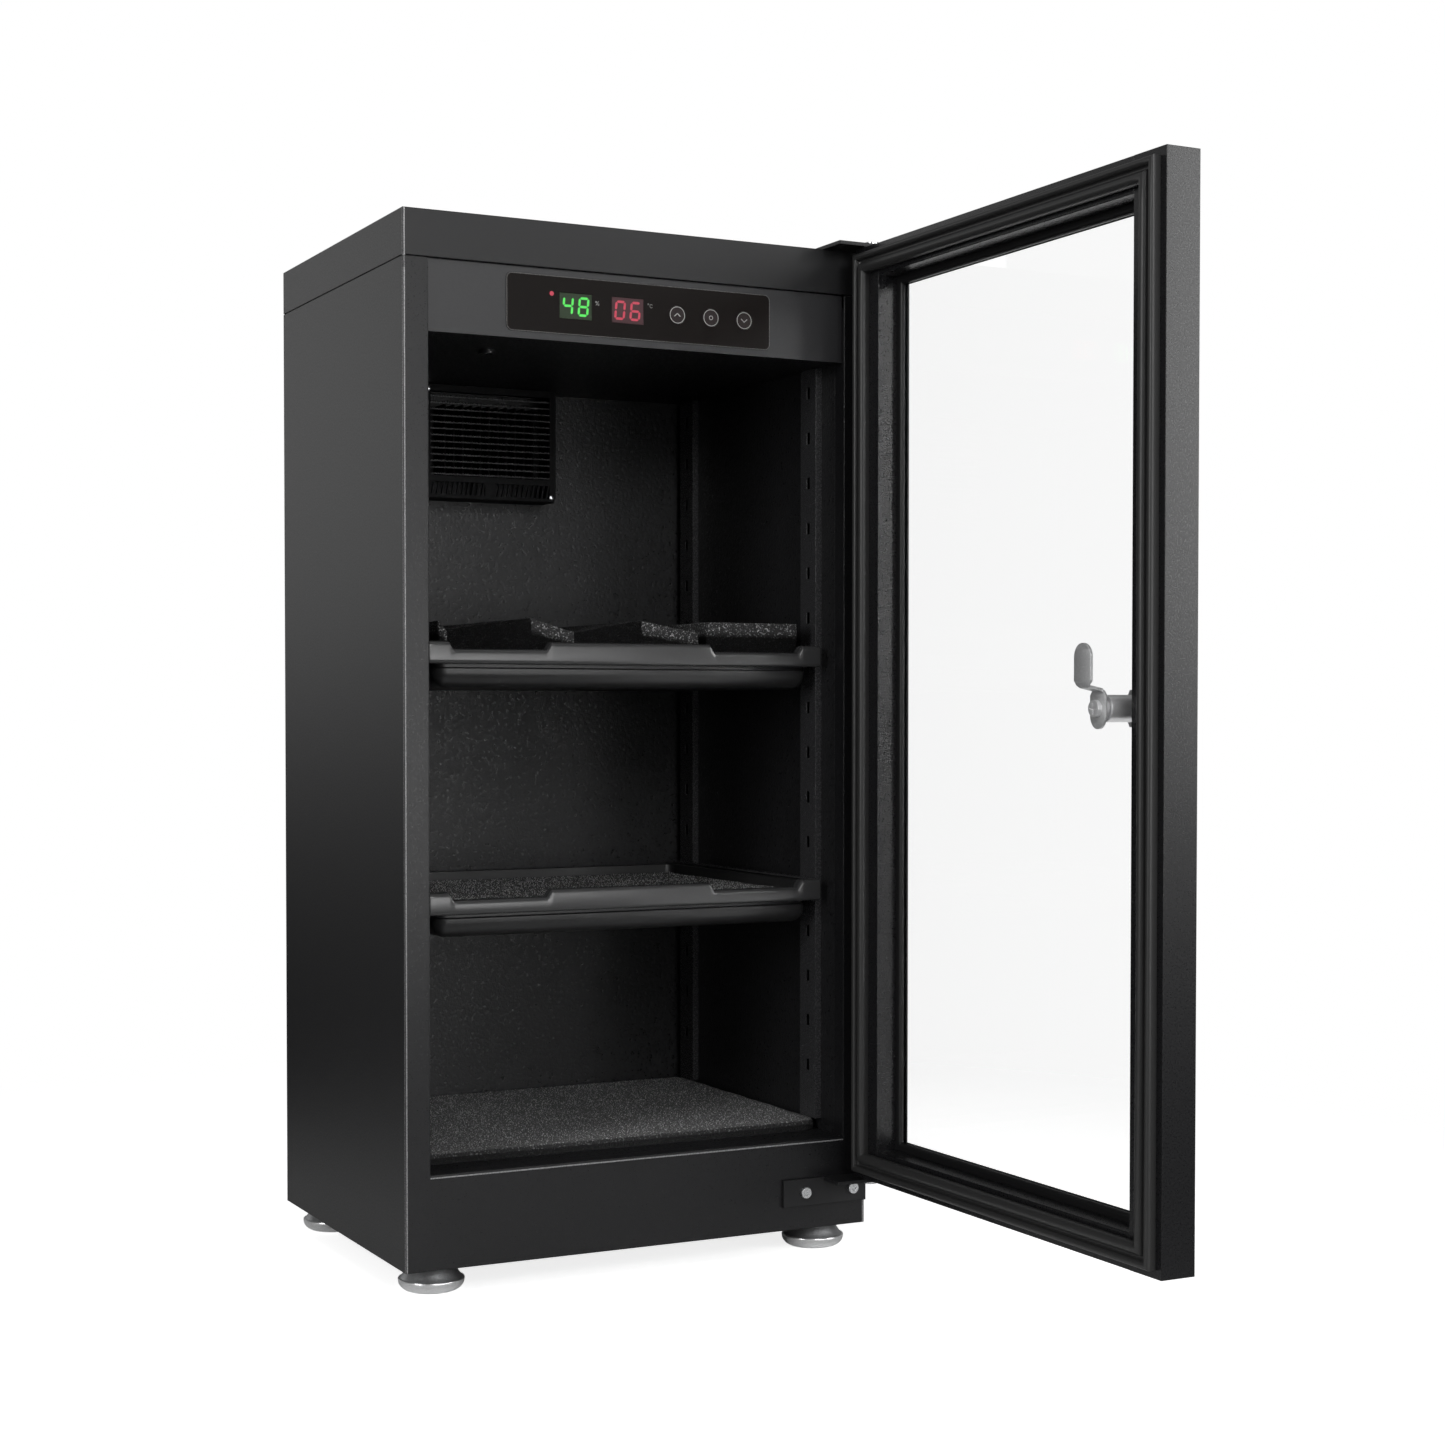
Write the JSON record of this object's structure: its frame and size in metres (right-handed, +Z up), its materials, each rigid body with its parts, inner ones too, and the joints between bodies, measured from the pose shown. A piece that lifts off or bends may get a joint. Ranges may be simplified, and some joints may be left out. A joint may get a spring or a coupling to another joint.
{
  "type": "camera dry cabinet",
  "caption": "Small upright steel cabinet with a hinged glass door, pull-out trays, foam, lit control strip, dehumidifier and levelling feet.",
  "frame": {"origin": "middle of the body's footprint, on the floor", "axes": "+X to the right as seen from the front, +Y towards the back, +Z up; the door is open by 90 degrees at rest"},
  "size_m": [0.3512, 0.6343, 0.7049],
  "materials": {
    "painted_steel": "fine satin powder coat",
    "bright_steel": "polished",
    "satin_metal": "satin with a bright rim",
    "black_plastic": "satin",
    "display_gloss": "glossy",
    "key_gloss": "glossy",
    "green_lens": "lit display",
    "red_lens": "lit display",
    "board": "circuit board",
    "heat_sink_metal": "extruded",
    "white_ceramic": "ceramic faces",
    "foam": "open-cell foam",
    "seal_rubber": "satin",
    "bush_plastic": "smooth",
    "clear_glass": "clear"
  },
  "bodies": {
    "cabinet": {"side_panel_left": "painted_steel", "side_panel_right": "painted_steel", "back_panel": "painted_steel", "base_pan": "painted_steel", "front_frame": "painted_steel", "top_cap": "painted_steel", "inner_liner": "painted_steel", "ceiling_panel": "painted_steel", "upright_front_left": "painted_steel", "upright_front_right": "painted_steel", "upright_rear_left": "painted_steel", "upright_rear_right": "painted_steel", "upper_runners": "painted_steel", "lower_runners": "painted_steel", "control_fascia": "black_plastic", "display_window": "display_gloss", "humidity_display": "green_lens", "temperature_display": "red_lens", "power_led": "red_lens", "control_board": "board", "humidity_sensor": "black_plastic", "dryer_housing": "black_plastic", "dryer_grille": "black_plastic", "cold_fins": "heat_sink_metal", "cooling_module": "white_ceramic", "heat_sink": "heat_sink_metal", "rear_vent_cover": "black_plastic", "dc_inlet": "black_plastic", "floor_mat": "foam", "lower_hinge_bracket": "painted_steel", "upper_hinge_plate": "painted_steel", "hinge_pins": "bright_steel", "hinge_screws": "bright_steel", "foot_nuts": "bright_steel", "panel_screws": "bright_steel"},
    "door": {"door_stile_hinge": "painted_steel", "door_stile_lock": "painted_steel", "door_rail_top": "painted_steel", "door_rail_bottom": "painted_steel", "door_end_blocks": "black_plastic", "door_bushes": "bush_plastic", "door_glass": "clear_glass", "door_gasket": "seal_rubber", "lock_barrel": "bright_steel", "lock_nut": "bright_steel"},
    "lock": {"lock_plug": "bright_steel", "lock_cam": "bright_steel", "cam_screw": "bright_steel"},
    "upper_tray": {"upper_tray": "black_plastic", "wave_foam": "foam", "foam_block": "foam"},
    "lower_tray": {"lower_tray": "black_plastic", "flat_foam": "foam"},
    "up_button": {"up_button": "key_gloss"},
    "set_button": {"set_button": "key_gloss"},
    "down_button": {"down_button": "key_gloss"},
    "foot_front_left": {"foot_front_left": "satin_metal"},
    "foot_front_right": {"foot_front_right": "satin_metal"},
    "foot_rear_left": {"foot_rear_left": "satin_metal"},
    "foot_rear_right": {"foot_rear_right": "satin_metal"}
  },
  "joints": [
    {"name": "door_hinge", "type": "hinge", "parent": "cabinet", "child": "door", "pos_m": [0.166, -0.1453, 0], "axis": [0, 0, 1], "range_deg": [-90, 90]},
    {"name": "lock_turn", "type": "hinge", "parent": "door", "child": "lock", "pos_m": [0.156, -0.4383, 0.381], "axis": [1, 0, 0], "range_deg": [0, 90]},
    {"name": "upper_tray_slide", "type": "slide", "parent": "cabinet", "child": "upper_tray", "axis": [0, -1, 0], "range_m": [0, 0.17]},
    {"name": "lower_tray_slide", "type": "slide", "parent": "cabinet", "child": "lower_tray", "axis": [0, -1, 0], "range_m": [0, 0.17]},
    {"name": "up_press", "type": "slide", "parent": "cabinet", "child": "up_button", "axis": [0, 1, 0], "range_m": [0, 0.0005], "stiffness_N_per_m": 1500, "springref_m": -0.0003},
    {"name": "set_press", "type": "slide", "parent": "cabinet", "child": "set_button", "axis": [0, 1, 0], "range_m": [0, 0.0005], "stiffness_N_per_m": 1500, "springref_m": -0.0003},
    {"name": "down_press", "type": "slide", "parent": "cabinet", "child": "down_button", "axis": [0, 1, 0], "range_m": [0, 0.0005], "stiffness_N_per_m": 1500, "springref_m": -0.0003},
    {"name": "level_front_left", "type": "slide", "parent": "cabinet", "child": "foot_front_left", "axis": [0, 0, -1], "range_m": [0, 0.008]},
    {"name": "level_front_right", "type": "slide", "parent": "cabinet", "child": "foot_front_right", "axis": [0, 0, -1], "range_m": [0, 0.008]},
    {"name": "level_rear_left", "type": "slide", "parent": "cabinet", "child": "foot_rear_left", "axis": [0, 0, -1], "range_m": [0, 0.008]},
    {"name": "level_rear_right", "type": "slide", "parent": "cabinet", "child": "foot_rear_right", "axis": [0, 0, -1], "range_m": [0, 0.008]}
  ]
}
